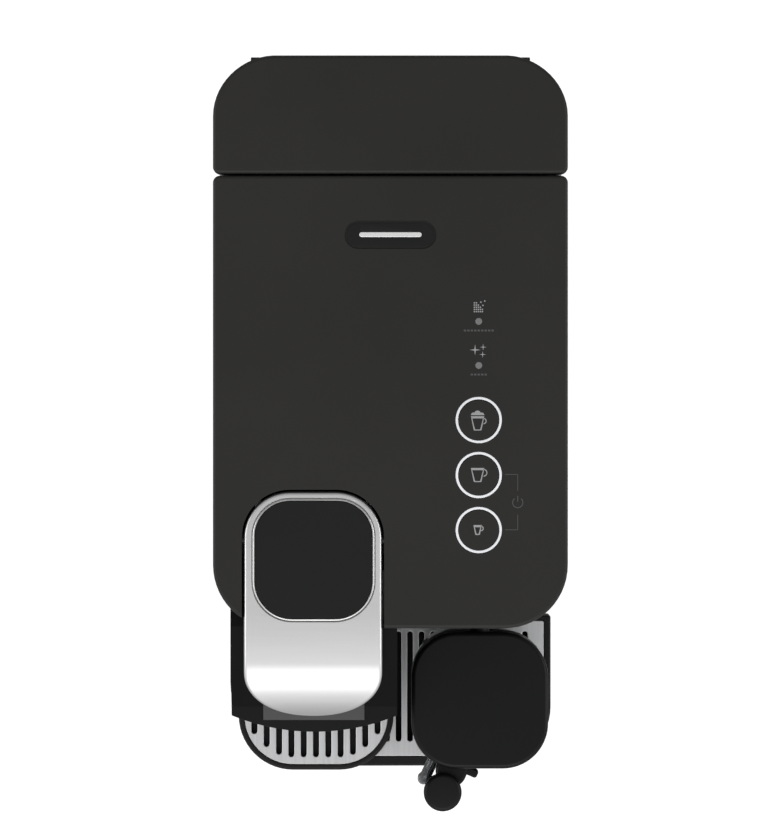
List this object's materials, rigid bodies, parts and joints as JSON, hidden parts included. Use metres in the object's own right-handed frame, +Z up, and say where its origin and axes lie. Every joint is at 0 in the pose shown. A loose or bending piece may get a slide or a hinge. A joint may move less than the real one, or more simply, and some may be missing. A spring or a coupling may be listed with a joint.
{
  "type": "pod coffee machine",
  "caption": "Pod coffee machine: rear water tank, satin lever over the capsule chamber, ringed buttons, docked milk jug with swivel spout, slotted drip tray and fold-up cup support.",
  "frame": {"origin": "centre of the bounding box in plan, on the surface that the feet stand on", "axes": "+X to the right seen from the front, +Y to the rear where the water tank is, +Z up"},
  "size_m": [0.154, 0.3361, 0.256],
  "materials": {
    "body_plastic": "satin moulded",
    "black_plastic": "fine grain",
    "gloss_black": "gloss",
    "lid_black": "satin",
    "insert_black": "satin",
    "button_plastic": "satin moulded",
    "grey_plastic": "satin",
    "white_ring": "translucent",
    "white_plastic": "moulded",
    "satin_metal": "satin",
    "satin_chrome": "satin plated",
    "grid_metal": "brushed",
    "steel": "turned",
    "cast_aluminium": "cast",
    "brass": "turned",
    "rubber": "matt",
    "hose_rubber": "smooth",
    "board": "coated",
    "smoked_clear": "clear smoked",
    "clear_plastic": "clear"
  },
  "bodies": {
    "chassis": {"base": "black_plastic", "bottom_cover": "black_plastic", "rubber_feet": "rubber", "base_screws": "steel", "cord_gland": "black_plastic", "left_side_panel": "body_plastic", "right_side_panel": "body_plastic", "front_wall": "body_plastic", "tank_bay_wall": "black_plastic", "top_panel": "body_plastic", "light_rings": "white_ring", "indicator_lenses": "white_ring", "badge": "satin_metal", "head_housing": "gloss_black", "spout_trim": "grey_plastic", "coffee_outlet": "black_plastic", "brew_frame": "black_plastic", "lever_shaft": "steel", "extraction_plate": "steel", "capsule_guides": "black_plastic", "capsule_chute": "black_plastic", "inner_frame": "black_plastic", "thermoblock": "cast_aluminium", "pump": "cast_aluminium", "pump_mounts": "rubber", "flow_meter": "white_plastic", "steam_valve": "brass", "water_hoses": "hose_rubber", "control_board": "board", "button_switches": "black_plastic", "power_board": "board", "steam_connector": "black_plastic", "tank_valve_seat": "rubber"},
    "lever": {"lever_frame": "satin_chrome", "lever_insert": "insert_black", "lever_cams": "steel"},
    "brew_carriage": {"capsule_cage": "cast_aluminium", "cage_arms": "steel", "cage_pins": "steel", "piercing_blades": "steel"},
    "water_tank": {"water_tank": "smoked_clear", "tank_outlet_valve": "black_plastic", "lid_hinge_pins": "steel"},
    "tank_lid": {"tank_lid": "body_plastic"},
    "tray_unit": {"drip_tray": "black_plastic", "capsule_container": "black_plastic", "cup_support_pins": "steel"},
    "drip_grid": {"drip_grid": "grid_metal"},
    "cup_support": {"cup_support_rim": "black_plastic", "cup_support_grid": "grid_metal"},
    "milk_jug": {"jug_lid": "lid_black", "milk_tube": "white_plastic", "spout_pivot_pin": "black_plastic"},
    "milk_container": {"milk_container": "clear_plastic"},
    "milk_spout": {"spout_arm": "lid_black", "spout_knob": "lid_black", "milk_outlet": "clear_plastic"},
    "lungo_button": {"lungo_button": "button_plastic"},
    "espresso_button": {"espresso_button": "button_plastic"},
    "milk_button": {"milk_button": "button_plastic"}
  },
  "joints": [
    {"name": "lever_hinge", "type": "hinge", "parent": "chassis", "child": "lever", "pos_m": [-0.0336, -0.0434, 0.2515], "axis": [-1, 0, 0], "range_deg": [0, 90]},
    {"name": "carriage_slide", "type": "slide", "parent": "chassis", "child": "brew_carriage", "axis": [0, 1, 0], "range_m": [0, 0.0301]},
    {"name": "tank_lift", "type": "slide", "parent": "chassis", "child": "water_tank", "axis": [0, 0, 1], "range_m": [0, 0.24]},
    {"name": "tank_lid_hinge", "type": "hinge", "parent": "water_tank", "child": "tank_lid", "pos_m": [0, 0.1635, 0.2495], "axis": [-1, 0, 0], "range_deg": [0, 100]},
    {"name": "tray_slide", "type": "slide", "parent": "chassis", "child": "tray_unit", "axis": [0, -1, 0], "range_m": [0, 0.15]},
    {"name": "grid_lift", "type": "slide", "parent": "tray_unit", "child": "drip_grid", "axis": [0, 0, 1], "range_m": [0, 0.012]},
    {"name": "cup_support_fold", "type": "hinge", "parent": "tray_unit", "child": "cup_support", "pos_m": [-0.033, -0.09, 0.076], "axis": [-1, 0, 0], "range_deg": [0, 88]},
    {"name": "jug_undock", "type": "slide", "parent": "chassis", "child": "milk_jug", "axis": [0, -1, 0], "range_m": [0, 0.09]},
    {"name": "container_release", "type": "slide", "parent": "milk_jug", "child": "milk_container", "axis": [0, 0, -1], "range_m": [0, 0.014]},
    {"name": "spout_swivel", "type": "hinge", "parent": "milk_jug", "child": "milk_spout", "pos_m": [0.04035, -0.1213, 0.1528], "axis": [0, 0, 1], "range_deg": [-14, 50]},
    {"name": "lungo_button_press", "type": "slide", "parent": "chassis", "child": "lungo_button", "axis": [0, 0, -1], "range_m": [0, 0.0012], "stiffness_N_per_m": 800},
    {"name": "espresso_button_press", "type": "slide", "parent": "chassis", "child": "espresso_button", "axis": [0, 0, -1], "range_m": [0, 0.0012], "stiffness_N_per_m": 800},
    {"name": "milk_button_press", "type": "slide", "parent": "chassis", "child": "milk_button", "axis": [0, 0, -1], "range_m": [0, 0.0012], "stiffness_N_per_m": 800}
  ],
  "couplings": [
    {"joint": "carriage_slide", "follows": "lever_hinge", "m_per_rad": 0.019099}
  ]
}
